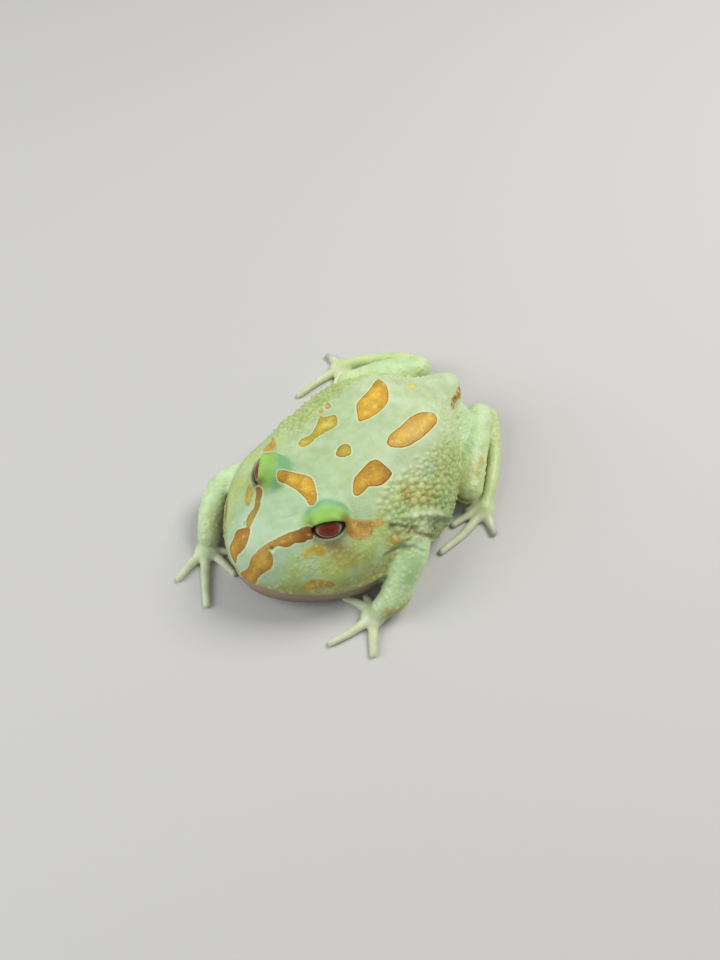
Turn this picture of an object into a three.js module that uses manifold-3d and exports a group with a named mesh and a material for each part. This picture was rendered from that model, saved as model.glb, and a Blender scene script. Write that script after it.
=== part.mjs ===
// A life-size model of a young Argentine horned frog, sitting with its belly, hands and feet on the floor.
// Millimetres, +Z up. The snout points along -Y and the frog's left side is +X.
// The body is one smooth loft from snout to vent. It is parted into head, lower jaw and torso by thin cuts,
// and each limb is a chain of lofted tubes that stop a thin gap short of what they grow from.

import * as THREE from "three";
import { mergeVertices } from "three/addons/utils/BufferGeometryUtils.js";
import Module from "manifold-3d";

const wasm = await Module();
wasm.setup();

// Driving dimensions
const SNOUT_TO_VENT = 75;
const SNOUT_Y = -37.5;
const HALF_WIDTH = 23.6; // at the jaw corners and the shoulders
const HEAD_ARC = 23.5; // length of the rounded front of the head, seen from above
const HEAD_ARC_POWER = 1.58;
const NECK_Y = -6.5; // where the head ends, just behind the jaw corners
const GAP = 0.3; // between nodes that touch

// Sections of the body: distance behind the snout, height of the back, of the widest line, and of the belly
const BODY_HEIGHTS = [
  [0, 12.0, 11.0, 10.0],
  [0.4, 14.4, 10.8, 6.4],
  [1.5, 16.8, 10.6, 3.4],
  [4.5, 19.4, 10.4, 1.4],
  [8, 21.1, 10.2, 0.7],
  [13, 22.5, 10.0, 0.3],
  [20, 23.4, 9.8, -0.1],
  [30, 24.6, 8.8, -0.4],
  [39, 26.0, 7.6, -0.6],
  [47, 26.0, 7.4, -0.6],
  [56, 24.4, 8.6, -0.3],
  [63, 21.6, 10.2, 1.2],
  [69, 18.4, 11.4, 4.0],
  [73, 16.2, 12.4, 7.2],
  [SNOUT_TO_VENT, 13.6, 13.2, 12.8],
];
// Half-width of the body behind the head arc, as a share of the widest, by distance behind the snout
const TRUNK_WIDTHS = [
  [HEAD_ARC, 0.975],
  [31, 1.01],
  [37, 1.035],
  [42.5, 1.03],
  [47.5, 0.985],
  [51.4, 0.9],
  [54.5, 0.81],
  [61.5, 0.57],
  [67.5, 0.34],
  [72, 0.24],
  [SNOUT_TO_VENT, 0],
];
// The rump sits a little to the right: distance behind the snout, x of the body's middle
const BODY_BEND = [
  [38, 0],
  [50, -0.4],
  [60, -0.7],
  [SNOUT_TO_VENT, -0.7],
];
// Squareness of the section above and below its widest line, by distance behind the snout
const SQUARENESS = [
  [0, 1.9, 3.4],
  [20, 1.85, 4.2],
  [38, 1.75, 3.0],
  [50, 2.2, 2.8],
  [58, 2.5, 2.6],
  [66, 1.8, 2.6],
  [SNOUT_TO_VENT, 1.7, 2.6],
];

// Mouth line, from the snout to the jaw corner: distance behind the snout, height
const MOUTH = [
  [0, 10.6],
  [6, 9.6],
  [14, 9.0],
  [22, 9.2],
  [28, 10.4],
  [34, 12.2],
];
const LIP_RADIUS = 0.9;
const LIP_END = 27.5; // how far behind the snout the rim of the upper lip runs

// Eyes: centre and radius, and the way that the left one looks
const EYE = [9.2, -18.1, 21.8];
const EYE_RADIUS = 3.9;
const GAZE = [0.66, -0.56, 0.5];
const LID_THICKNESS = 0.8;
const DOME_RADII = [5.0, 4.7, 4.6]; // of the lids: along the slot, up and out along the gaze
const LID_OPENING = [3.95, 2.3]; // half-width and half-height between the lids
const LID_ROLL = 0.1; // how far the rear corner of the eye drops, in radians
const LID_RIM = [0.45, 1.0]; // radius of the upper lid's edge at its corners and in its middle
const NOSTRIL = [4.1, -30.4, 19.3];
const NOSTRIL_RADIUS = 1.3;
const NOSTRIL_PIT = 0.5;
const RUMP = [-0.8, 34.8, 13.2]; // the end of the backbone, a soft bump above the vent
const RUMP_RADII = [3.8, 3.8, 4.0];

// Limbs: centre and radius at each joint, and the run of each digit over the floor
const LEFT = {
  arm: {
    shoulder: [19.0, 0.5, 10.4, 4.2],
    upper: [23.6, -5.2, 9.6, 4.0],
    elbow: [25.9, -11.0, 7.8, 3.8],
    forearm: [27.2, -15.2, 5.0, 3.5],
    wrist: [26.6, -18.8, 3.1, 2.6],
  },
  palm: [26.0, -20.9],
  fingers: [
    [[24.8, -19.6], [22.8, -18.8], [21.2, -18.4]],
    [[24.2, -20.4], [20.6, -20.9], [17.8, -21.9]],
    [[25.7, -23.0], [24.7, -27.7], [23.3, -32.2]],
    [[27.6, -22.6], [30.2, -25.4], [32.2, -27.5]],
  ],
  thigh: {
    hip: [5.5, 31.0, 9.0, 4.6],
    middle: [13.4, 24.6, 5.4, 4.6],
    knee: [20.4, 19.0, 4.6, 3.4],
  },
  shank: {
    knee: [21.0, 19.2, 6.0, 3.5],
    calf: [15.0, 27.6, 7.2, 3.9],
    heel: [9.2, 37.2, 6.8, 3.8],
  },
  foot: {
    heel: [9.8, 40.5, 4.2, 2.8],
    tarsus: [17.4, 34.0, 3.4, 1.9],
    instep: [23.2, 25.6, 2.8, 1.6],
    sole: [26.2, 19.8, 1.9, 1.5],
  },
  toes: [
    [[24.8, 21.2], [23.8, 20.2], [23.0, 19.2]],
    [[25.0, 19.6], [23.9, 18.2], [23.2, 16.8]],
    [[25.3, 19.0], [24.2, 15.0], [23.4, 11.2]],
    [[26.4, 18.0], [26.9, 10.8], [26.2, 3.4]],
    [[27.6, 19.0], [30.2, 17.4], [32.2, 16.2]],
  ],
};
const RIGHT = {
  arm: {
    shoulder: [-16.8, -9.5, 8.4, 3.6],
    upper: [-20.4, -17.0, 8.4, 3.5],
    elbow: [-22.9, -23.6, 7.6, 3.3],
    forearm: [-20.2, -29.6, 5.4, 3.2],
    wrist: [-16.7, -34.0, 3.3, 2.8],
  },
  palm: [-15.3, -36.3],
  fingers: [
    [[-14.0, -35.0], [-12.4, -33.6], [-11.2, -32.6]],
    [[-13.4, -35.9], [-9.7, -35.7], [-6.2, -35.8]],
    [[-13.6, -38.4], [-9.1, -42.3], [-4.7, -45.7]],
    [[-15.6, -38.7], [-15.3, -42.6], [-14.7, -45.8]],
  ],
  thigh: {
    hip: [-5.5, 31.0, 9.0, 4.6],
    middle: [-14.4, 26.0, 5.4, 4.6],
    knee: [-23.0, 21.4, 4.6, 3.4],
  },
  shank: {
    knee: [-23.6, 22.4, 6.0, 3.5],
    calf: [-18.2, 31.0, 7.2, 3.9],
    heel: [-13.4, 38.8, 6.8, 3.5],
  },
  foot: {
    heel: [-15.0, 41.6, 4.4, 2.6],
    tarsus: [-21.6, 39.6, 3.5, 1.9],
    instep: [-27.9, 33.6, 2.8, 1.6],
    sole: [-32.2, 28.2, 1.9, 1.5],
  },
  toes: [
    [[-30.8, 28.6], [-29.0, 27.4], [-27.8, 26.2]],
    [[-31.0, 27.4], [-29.6, 25.4], [-28.6, 23.6]],
    [[-31.6, 26.8], [-30.2, 24.4], [-29.0, 22.2]],
    [[-32.6, 26.2], [-33.6, 19.8], [-34.0, 13.2]],
    [[-33.4, 28.2], [-36.4, 28.6], [-38.2, 28.6]],
  ],
};
const DIGIT_RADII = [1.25, 1.0, 0.85]; // at the knuckle, half way and the tip
const DIGIT_LIFT = 0.8; // height of a digit's centre line, as a share of its radius
const PALM_RADII = [2.9, 3.0, 1.8];
const SOLE_RADII = [2.4, 3.4, 1.6];
const WEB_REACH = 0.45; // how far along the first phalanx of a toe the web runs
const WEB_THICKNESS = 0.9;

// Mesh fineness
const BODY_RINGS = 38;
const BODY_SIDES = 36;
const LIMB_SIDES = 14;
const DIGIT_SIDES = 8;

const SKIN = new THREE.MeshStandardMaterial({ color: 0xbfe0b0, roughness: 0.45, metalness: 0 });
const JAW_SKIN = new THREE.MeshStandardMaterial({ color: 0xdcc4b0, roughness: 0.5, metalness: 0 });
const EYE_GLOSS = new THREE.MeshStandardMaterial({ color: 0x6e1a16, roughness: 0.05, metalness: 0 });

// A smooth curve through rows of [position, value, value, ...], without overshoot between the rows.
function smoothTable(rows) {
  const slope = (i, k) => {
    if (i === 0 || i === rows.length - 1) return 0;
    const before = (rows[i][k] - rows[i - 1][k]) / (rows[i][0] - rows[i - 1][0]);
    const after = (rows[i + 1][k] - rows[i][k]) / (rows[i + 1][0] - rows[i][0]);
    return before * after <= 0 ? 0 : (2 * before * after) / (before + after);
  };
  const endSlope = (i, j, k) => (rows[j][k] - rows[i][k]) / (rows[j][0] - rows[i][0]);
  const slopes = rows.map((row, i) =>
    row.map((_, k) => {
      if (k === 0) return 0;
      if (i === 0) return endSlope(0, 1, k);
      if (i === rows.length - 1) return endSlope(i - 1, i, k);
      return slope(i, k);
    }),
  );
  return (at, k = 1) => {
    const x = THREE.MathUtils.clamp(at, rows[0][0], rows[rows.length - 1][0]);
    let i = 0;
    while (i < rows.length - 2 && x > rows[i + 1][0]) i += 1;
    const width = rows[i + 1][0] - rows[i][0];
    const t = (x - rows[i][0]) / width;
    const [a, b] = [rows[i][k], rows[i + 1][k]];
    const [da, db] = [slopes[i][k] * width, slopes[i + 1][k] * width];
    return a + t * (da + t * (3 * (b - a) - 2 * da - db + t * (2 * (a - b) + da + db)));
  };
}

const bodyHeight = smoothTable(BODY_HEIGHTS);
const trunkWidth = smoothTable(TRUNK_WIDTHS);
const mouthHeight = smoothTable(MOUTH);
const bodyBend = smoothTable(BODY_BEND);
const squareness = smoothTable(SQUARENESS);

function halfWidth(s) {
  if (s >= HEAD_ARC) return HALF_WIDTH * trunkWidth(s);
  const along = (HEAD_ARC - Math.max(s, 0)) / HEAD_ARC;
  return HALF_WIDTH * trunkWidth(HEAD_ARC) * (1 - along ** HEAD_ARC_POWER) ** (1 / HEAD_ARC_POWER);
}

// The point of the body's section at distance s behind the snout, at an angle from the left side up.
function bodyPoint(s, angle, grow = 0) {
  const [top, belt, bottom] = [1, 2, 3].map((k) => bodyHeight(s, k));
  const up = Math.sin(angle) >= 0;
  const power = 2 / squareness(s, up ? 1 : 2);
  const across = Math.sign(Math.cos(angle)) * Math.abs(Math.cos(angle)) ** power;
  const raise = Math.abs(Math.sin(angle)) ** power;
  const reach = (up ? top - belt : belt - bottom) + grow;
  return new THREE.Vector3(
    bodyBend(s) + across * (halfWidth(s) + grow),
    SNOUT_Y + s,
    belt + (up ? raise : -raise) * reach,
  );
}

// A closed surface over rings of points that all run the same way round, with a point at each end.
function loft(rings, start, end) {
  const points = [start, ...rings.flat(), end];
  const sides = rings[0].length;
  const last = points.length - 1;
  const index = [];
  for (let j = 0; j < sides; j += 1) {
    const next = (j + 1) % sides;
    index.push(0, 1 + next, 1 + j);
    for (let i = 0; i < rings.length - 1; i += 1) {
      const [a, b] = [1 + i * sides + j, 1 + i * sides + next];
      index.push(a, b, b + sides, a, b + sides, a + sides);
    }
    index.push(last, last - sides + j, last - sides + next);
  }
  const geometry = new THREE.BufferGeometry().setFromPoints(points);
  return geometry.setIndex(index);
}

// A round-ended tube through stations of [x, y, z, radius], with its section scaled across and up.
function tube(stations, sides, { across = 1, up = 1, steps = 4, capRings = 2 } = {}) {
  const curve = new THREE.CatmullRomCurve3(
    stations.map(([x, y, z]) => new THREE.Vector3(x, y, z)),
    false,
    "centripetal",
  );
  const lastStation = stations.length - 1;
  const radiusAt = smoothTable(stations.map((station, i) => [i / lastStation, station[3]]));
  const ringAt = (t, shrink, shift) => {
    const tangent = curve.getTangent(t);
    const side = new THREE.Vector3(0, 0, 1).cross(tangent).normalize();
    const above = tangent.clone().cross(side);
    const centre = curve.getPoint(t).addScaledVector(tangent, shift);
    const radius = radiusAt(t) * shrink;
    return Array.from({ length: sides }, (_, j) => {
      const angle = (2 * Math.PI * (j + 0.5)) / sides;
      return centre
        .clone()
        .addScaledVector(side, Math.cos(angle) * radius * across)
        .addScaledVector(above, Math.sin(angle) * radius * up);
    });
  };
  const rings = [];
  for (let i = 0; i < capRings; i += 1) {
    const angle = (Math.PI / 2) * (1 - (i + 1) / (capRings + 1));
    rings.push(ringAt(0, Math.cos(angle), -radiusAt(0) * Math.sin(angle)));
  }
  const count = lastStation * steps;
  for (let i = 0; i <= count; i += 1) rings.push(ringAt(i / count, 1, 0));
  for (let i = 0; i < capRings; i += 1) {
    const angle = (Math.PI / 2) * ((i + 1) / (capRings + 1));
    rings.push(ringAt(1, Math.cos(angle), radiusAt(1) * Math.sin(angle)));
  }
  const start = curve.getPoint(0).addScaledVector(curve.getTangent(0), -radiusAt(0));
  const end = curve.getPoint(1).addScaledVector(curve.getTangent(1), radiusAt(1));
  return loft(rings, start, end);
}

function ellipsoid(centre, radii, widthSegments = 20, heightSegments = 14) {
  const geometry = new THREE.SphereGeometry(1, widthSegments, heightSegments);
  return geometry.scale(...radii).translate(...centre);
}

function box(low, high) {
  const size = high.map((value, i) => value - low[i]);
  const middle = high.map((value, i) => (value + low[i]) / 2);
  return new THREE.BoxGeometry(...size).translate(...middle);
}

// A slab across the whole body whose outline is drawn in the y, z plane.
function slab(outline) {
  const shape = new THREE.Shape(outline.map(([y, z]) => new THREE.Vector2(y, z)));
  const width = 4 * HALF_WIDTH;
  const geometry = new THREE.ExtrudeGeometry(shape, { depth: width, bevelEnabled: false });
  const turn = new THREE.Matrix4().set(0, 0, 1, -width / 2, 1, 0, 0, 0, 0, 1, 0, 0, 0, 0, 0, 1);
  return geometry.applyMatrix4(turn);
}

function solid(geometry) {
  const bare = geometry.clone();
  bare.deleteAttribute("normal");
  bare.deleteAttribute("uv");
  const merged = mergeVertices(bare, 1e-4);
  return new wasm.Manifold(
    new wasm.Mesh({
      numProp: 3,
      vertProperties: new Float32Array(merged.attributes.position.array),
      triVerts: new Uint32Array(merged.index.array),
    }),
  );
}

const join = (parts) => parts.reduce((whole, part) => whole.add(part));

function largest(whole) {
  const pieces = whole.decompose();
  return pieces.reduce((best, piece) => (piece.volume() > best.volume() ? piece : best));
}

function geometryOf(whole) {
  const mesh = whole.getMesh();
  const geometry = new THREE.BufferGeometry();
  const positions = new Float32Array(mesh.numVert * 3);
  for (let i = 0; i < mesh.numVert; i += 1) {
    positions.set(mesh.vertProperties.subarray(i * mesh.numProp, i * mesh.numProp + 3), i * 3);
  }
  geometry.setAttribute("position", new THREE.BufferAttribute(positions, 3));
  geometry.setIndex(new THREE.BufferAttribute(new Uint32Array(mesh.triVerts), 1));
  return geometry;
}

// Body
function bodyLoft(grow) {
  const rings = [];
  for (let i = 1; i < BODY_RINGS; i += 1) {
    const s = (SNOUT_TO_VENT * (1 - Math.cos((Math.PI * i) / BODY_RINGS))) / 2;
    const ring = Array.from({ length: BODY_SIDES }, (_, j) =>
      bodyPoint(s, (-2 * Math.PI * (j + 0.5)) / BODY_SIDES, grow),
    );
    rings.push(ring);
  }
  const tip = new THREE.Vector3(0, SNOUT_Y - grow, bodyHeight(0, 2));
  const vent = new THREE.Vector3(
    bodyBend(SNOUT_TO_VENT),
    SNOUT_Y + SNOUT_TO_VENT + grow,
    bodyHeight(SNOUT_TO_VENT, 2),
  );
  return solid(loft(rings, tip, vent));
}

const FAR = 100; // past every part of the frog
const aboveFloor = solid(box([-FAR, -FAR, 0], [FAR, FAR, FAR]));
const body = bodyLoft(0).intersect(aboveFloor);
const grownBody = bodyLoft(GAP);

const front = solid(box([-FAR, -FAR, -FAR], [FAR, NECK_Y - GAP / 2, FAR]));
const rear = solid(box([-FAR, NECK_Y + GAP / 2, -FAR], [FAR, FAR, FAR]));

// Everything above, or below, the mouth line
function mouthSide(up) {
  const steps = 14;
  const reach = NECK_Y - SNOUT_Y + 1;
  const line = Array.from({ length: steps + 1 }, (_, i) => {
    const s = (reach * i) / steps;
    return [SNOUT_Y + s, mouthHeight(s) + (up ? GAP / 2 : -GAP / 2)];
  });
  const level = up ? FAR : -FAR;
  const outline = [[-FAR, line[0][1]], ...line, [line[steps][0], level], [-FAR, level]];
  return solid(slab(up ? outline : outline.reverse()));
}

// The rim of the upper lip follows the mouth line round the snout, half sunk in the skin.
function lipRim(grow = 0) {
  const half = Array.from({ length: 12 }, (_, i) => {
    const s = LIP_END * ((i + 0.35) / 11.35) ** 2;
    const z = mouthHeight(s) + LIP_RADIUS * 0.8;
    const belt = bodyHeight(s, 2);
    const reach = z > belt ? bodyHeight(s, 1) - belt : belt - bodyHeight(s, 3);
    const power = squareness(s, z > belt ? 1 : 2);
    const across = (1 - Math.min(1, Math.abs(z - belt) / reach) ** power) ** (1 / power);
    const x = halfWidth(s) * across - LIP_RADIUS * 0.45;
    return [x, SNOUT_Y + s + LIP_RADIUS * 0.45, z, LIP_RADIUS + grow];
  });
  const otherHalf = half.map(([x, y, z, radius]) => [-x, y, z, radius]).reverse();
  return solid(tube([...otherHalf, ...half], 6, { steps: 1, capRings: 1 }));
}

const mirrored = ([x, y, z], side) => new THREE.Vector3(x * side, y, z);

// The eye's own directions: across towards its rear corner, up, and out along the gaze
function eyeFrame(side) {
  const out = mirrored(GAZE, side).normalize();
  const across = new THREE.Vector3(0, 0, side).cross(out).normalize().applyAxisAngle(out, side * LID_ROLL);
  const up = out.clone().cross(across).multiplyScalar(side);
  return { out, across, up };
}

// The dome of the lids round an eye, with the thick edge of the upper lid
function lids(side) {
  const centre = mirrored(EYE, side);
  const { out, across, up } = eyeFrame(side);
  const dome = new THREE.SphereGeometry(1, 20, 14).scale(...DOME_RADII);
  dome.applyMatrix4(new THREE.Matrix4().makeBasis(across.clone().multiplyScalar(side), up, out));
  dome.translate(...centre);
  const rim = Array.from({ length: 7 }, (_, i) => {
    const turn = (Math.PI * i) / 6;
    const direction = out
      .clone()
      .multiplyScalar(EYE_RADIUS)
      .addScaledVector(across, LID_OPENING[0] * 1.1 * Math.cos(turn))
      .addScaledVector(up, LID_OPENING[1] * 1.7 * Math.sin(turn))
      .normalize();
    const place = centre.clone().addScaledVector(direction, EYE_RADIUS + LID_THICKNESS * 0.7);
    return [...place, LID_RIM[0] + (LID_RIM[1] - LID_RIM[0]) * Math.sin(turn) ** 2];
  });
  return solid(dome).add(solid(tube(rim, 8, { steps: 2, capRings: 1 })));
}

// The room for the eyeball, and the slot between the lids that shows it
function socket(side) {
  const centre = mirrored(EYE, side);
  const { out, across, up } = eyeFrame(side);
  const room = ellipsoid(centre, Array(3).fill(EYE_RADIUS + GAP), 20, 12);
  const slot = new THREE.SphereGeometry(1, 16, 10).scale(...LID_OPENING, EYE_RADIUS);
  slot.applyMatrix4(new THREE.Matrix4().makeBasis(across.clone().multiplyScalar(side), up, out));
  slot.translate(...centre.addScaledVector(out, EYE_RADIUS * 0.9));
  return solid(room).add(solid(slot));
}

function nostril(side, radius) {
  return solid(ellipsoid(mirrored(NOSTRIL, side), Array(3).fill(radius), 10, 6));
}

const SIDES = [1, -1];
const upperHead = join([
  body.intersect(front),
  lipRim(),
  ...SIDES.map(lids),
  ...SIDES.map((side) => nostril(side, NOSTRIL_RADIUS)),
]);
const pits = SIDES.map((side) =>
  nostril(side, NOSTRIL_PIT).translate([side * 0.5, -0.4, NOSTRIL_RADIUS * 0.8]),
);
const head = upperHead.intersect(mouthSide(true)).subtract(join([...SIDES.map(socket), ...pits]));
const lowerJaw = body.intersect(front).intersect(mouthSide(false));
const torso = body.intersect(rear).add(solid(ellipsoid(new THREE.Vector3(...RUMP), RUMP_RADII, 14, 10)));

// Limbs
const grownRump = RUMP_RADII.map((radius) => radius + GAP);
const clearOfBody = join([
  grownBody,
  lipRim(GAP),
  solid(ellipsoid(new THREE.Vector3(...RUMP), grownRump, 14, 10)),
]);

function limb(stations, grow, options = {}) {
  const grown = Object.values(stations).map(([x, y, z, radius]) => [x, y, z, radius + grow]);
  return solid(tube(grown, LIMB_SIDES, options));
}

function digit(run) {
  const stations = run.map(([x, y], i) => [x, y, DIGIT_RADII[i] * DIGIT_LIFT, DIGIT_RADII[i]]);
  return solid(tube(stations, DIGIT_SIDES, { steps: 2, capRings: 1 }));
}

// A thin three-cornered web from the sole to a place on each of two toes
function web(sole, runA, runB) {
  const reach = ([knuckle, middle]) =>
    new THREE.Vector2(...knuckle).lerp(new THREE.Vector2(...middle), WEB_REACH);
  const corners = [new THREE.Vector2(sole[0], sole[1]), reach(runA), reach(runB)];
  if (THREE.ShapeUtils.isClockWise(corners)) corners.reverse();
  const geometry = new THREE.ExtrudeGeometry(new THREE.Shape(corners), {
    depth: WEB_THICKNESS,
    bevelEnabled: false,
  });
  return solid(geometry);
}

function pad(centre, radii, towards) {
  const angle = Math.atan2(towards[1] - centre[1], towards[0] - centre[0]) - Math.PI / 2;
  const geometry = new THREE.SphereGeometry(1, 16, 10).scale(...radii).rotateZ(angle);
  return solid(geometry.translate(centre[0], centre[1], radii[2] * 0.9));
}

function firstStations(stations, count) {
  return Object.fromEntries(Object.entries(stations).slice(0, count));
}

// One side's arm and leg, each node cut clear of those that it meets
function limbsOf({ arm, palm, fingers, thigh, shank, foot, toes }) {
  const upperStations = firstStations(arm, 3);
  const { elbow, forearm, wrist } = arm;
  const upperArm = limb(upperStations, 0).subtract(clearOfBody);
  const lower = limb({ elbow, forearm, wrist }, 0).subtract(clearOfBody).subtract(limb(upperStations, GAP));
  const hand = join([pad(palm, PALM_RADII, wrist), ...fingers.map(digit)]);
  const handParts = hand.subtract(limb({ elbow, forearm, wrist }, GAP)).subtract(clearOfBody);
  const shin = limb(shank, 0).subtract(clearOfBody);
  const upperLeg = limb(thigh, 0).subtract(clearOfBody).subtract(limb(shank, GAP));
  const webs = toes.slice(1).map((run, i) => web(foot.sole, toes[i], run));
  const sole = pad(foot.sole, SOLE_RADII, foot.instep);
  const wholeFoot = join([limb(foot, 0), sole, ...toes.map(digit), ...webs]);
  const footParts = wholeFoot
    .subtract(limb(shank, GAP))
    .subtract(limb(thigh, GAP))
    .subtract(clearOfBody);
  return {
    upper_arm: upperArm,
    forearm: lower,
    hand: handParts,
    thigh: upperLeg,
    shank: shin,
    foot: footParts,
  };
}

const eyeball = (side) => solid(ellipsoid(mirrored(EYE, side), Array(3).fill(EYE_RADIUS), 20, 12));

const nodes = {
  head: [head, SKIN],
  lower_jaw: [lowerJaw, JAW_SKIN],
  torso: [torso, SKIN],
  eye_left: [eyeball(1), EYE_GLOSS],
  eye_right: [eyeball(-1), EYE_GLOSS],
};
for (const [side, sizes] of [["left", LEFT], ["right", RIGHT]]) {
  for (const [name, shape] of Object.entries(limbsOf(sizes))) nodes[`${name}_${side}`] = [shape, SKIN];
}

const group = new THREE.Group();
for (const [name, [shape, material]] of Object.entries(nodes)) {
  const whole = largest(shape.intersect(aboveFloor));
  const mesh = new THREE.Mesh(geometryOf(whole), material.clone());
  mesh.name = name;
  group.add(mesh);
}

// The origin is on the floor, under the middle of the frog's box.
const bounds = new THREE.Box3().setFromObject(group);
const middle = bounds.getCenter(new THREE.Vector3());
group.position.set(-middle.x, -middle.y, 0);
group.updateMatrixWorld(true);

export default group;
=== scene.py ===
import math
from types import SimpleNamespace

import bpy
import numpy as np
from mathutils import Matrix, Vector
from mathutils.kdtree import KDTree


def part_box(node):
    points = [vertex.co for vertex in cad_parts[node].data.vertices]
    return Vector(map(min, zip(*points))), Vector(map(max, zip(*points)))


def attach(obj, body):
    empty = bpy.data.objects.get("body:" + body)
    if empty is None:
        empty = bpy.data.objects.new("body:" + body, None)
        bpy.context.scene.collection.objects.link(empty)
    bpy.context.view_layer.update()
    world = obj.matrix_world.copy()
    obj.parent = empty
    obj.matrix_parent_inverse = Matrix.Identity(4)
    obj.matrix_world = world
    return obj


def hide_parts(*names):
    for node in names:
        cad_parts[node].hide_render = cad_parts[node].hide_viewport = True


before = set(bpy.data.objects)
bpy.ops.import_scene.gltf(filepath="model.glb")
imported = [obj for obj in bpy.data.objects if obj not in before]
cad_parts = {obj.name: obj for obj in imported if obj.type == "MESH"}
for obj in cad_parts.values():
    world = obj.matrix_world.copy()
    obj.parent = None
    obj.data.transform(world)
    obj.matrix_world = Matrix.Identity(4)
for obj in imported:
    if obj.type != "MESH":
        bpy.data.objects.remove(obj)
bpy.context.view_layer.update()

# A young horned frog, squatting on a pale floor. Sizes are the solids' own, in millimetres unless a table says
# otherwise. The snout points along -Y, the left side is +X, z = 0 is the floor.
MM = 0.001
GRID_LOW, GRID_HIGH = (-42, -50, -1.4), (36, 46, 29)  # the grid that the skin is drawn on
CELL, SKIN_TRIANGLES = ((0.36, 194000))
RELAX_ROUNDS = 3
rng = np.random.default_rng(7)

# Body, by distance behind the snout
SNOUT_TO_VENT = 75.0
SNOUT_Y = -37.5
HALF_WIDTH = 23.6
HEAD_ARC = 23.5
HEAD_ARC_POWER = 1.58
BODY_HEIGHTS = [  # distance, back, widest line, belly
    (0, 12, 11, 10), (0.4, 14.4, 10.8, 6.4), (1.5, 16.8, 10.6, 3.4), (4.5, 19.4, 10.4, 1.4),
    (8, 21.1, 10.2, 0.7), (13, 22.5, 10, 0.3), (20, 23.4, 9.8, -0.1), (30, 24.6, 8.8, -0.4),
    (39, 26, 7.6, -0.6), (47, 26, 7.4, -0.6), (56, 24.4, 8.6, -0.3), (63, 21.6, 10.2, 1.2),
    (69, 18.4, 11.4, 4), (73, 16.2, 12.4, 7.2), (SNOUT_TO_VENT, 13.6, 13.2, 12.8),
]
TRUNK_WIDTHS = [  # distance, share of the half width
    (HEAD_ARC, 0.975), (31, 1.01), (37, 1.035), (42.5, 1.03), (47.5, 0.985), (51.4, 0.9), (54.5, 0.81),
    (61.5, 0.57), (67.5, 0.34), (72, 0.24), (SNOUT_TO_VENT, 0),
]
BODY_BEND = [(38, 0), (50, -0.4), (60, -0.7), (SNOUT_TO_VENT, -0.7)]  # distance, middle line's x
SQUARENESS = [  # distance, power above and below the widest line
    (0, 1.9, 3.4), (20, 1.85, 4.2), (38, 1.75, 3), (50, 2.2, 2.8), (58, 2.5, 2.6), (66, 1.8, 2.6),
    (SNOUT_TO_VENT, 1.7, 2.6),
]
MOUTH = [(0, 10.6), (6, 9.6), (14, 9), (22, 9.2), (28, 10.4), (34, 12.2)]
MOUTH_END = 30.0
RUMP = (-0.8, 34.8, 13.2)
RUMP_RADII = (3.8, 3.8, 4.0)

# Head
EYE = (9.2, -18.1, 21.8)
EYE_RADIUS = 3.9
GAZE = (0.66, -0.56, 0.5)
DOME_RADII = (5.0, 4.7, 4.6)  # of the lids: along the slot, up and out along the gaze
LID_OPENING = (3.95, 2.3)
LID_ROLL = 0.1
EYE_MESH = (56, 96)  # rings and spokes
NOSTRIL = (4.1, -30.4, 19.3)

# Limbs, in tenths of a millimetre: centre and radius at each joint, and the run of each digit over the floor
LEFT = {
    "arm": [
        (190, 5, 104, 42), (236, -52, 96, 40), (259, -110, 78, 38), (272, -152, 50, 35),
        (266, -188, 31, 26),
    ],
    "palm": (260, -209),
    "fingers": [
        [(248, -196), (228, -188), (212, -184)], [(242, -204), (206, -209), (178, -219)],
        [(257, -230), (247, -277), (233, -322)], [(276, -226), (302, -254), (322, -275)],
    ],
    "thigh": [(55, 310, 90, 46), (134, 246, 54, 46), (204, 190, 46, 34)],
    "shank": [(210, 192, 60, 35), (150, 276, 72, 39), (92, 372, 68, 38)],
    "foot": [(98, 405, 42, 28), (174, 340, 34, 19), (232, 256, 28, 16), (262, 198, 19, 15)],
    "toes": [
        [(248, 212), (238, 202), (230, 192)], [(250, 196), (239, 182), (232, 168)],
        [(253, 190), (242, 150), (234, 112)], [(264, 180), (269, 108), (262, 34)],
        [(276, 190), (302, 174), (322, 162)],
    ],
}
RIGHT = {
    "arm": [
        (-168, -95, 84, 36), (-204, -170, 84, 35), (-229, -236, 76, 33), (-202, -296, 54, 32),
        (-167, -340, 33, 28),
    ],
    "palm": (-153, -363),
    "fingers": [
        [(-140, -350), (-124, -336), (-112, -326)], [(-134, -359), (-97, -357), (-62, -358)],
        [(-136, -384), (-91, -423), (-47, -457)], [(-156, -387), (-153, -426), (-147, -458)],
    ],
    "thigh": [(-55, 310, 90, 46), (-144, 260, 54, 46), (-230, 214, 46, 34)],
    "shank": [(-236, 224, 60, 35), (-182, 310, 72, 39), (-134, 388, 68, 35)],
    "foot": [
        (-150, 416, 44, 26), (-216, 396, 35, 19), (-279, 336, 28, 16), (-322, 282, 19, 15),
    ],
    "toes": [
        [(-308, 286), (-290, 274), (-278, 262)], [(-310, 274), (-296, 254), (-286, 236)],
        [(-316, 268), (-302, 244), (-290, 222)], [(-326, 262), (-336, 198), (-340, 132)],
        [(-334, 282), (-364, 286), (-382, 286)],
    ],
}
DIGIT_RADII = (1.25, 1.0, 0.85)
DIGIT_LIFT = 0.8
PALM_RADII = (2.9, 3.0, 1.8)
SOLE_RADII = (2.4, 3.4, 1.6)
WEB_REACH = 0.45
WEB_BOTTOM, WEB_TOP = 0.1, 0.9


def in_mm(rows):
    return np.array(rows) / 10


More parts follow.
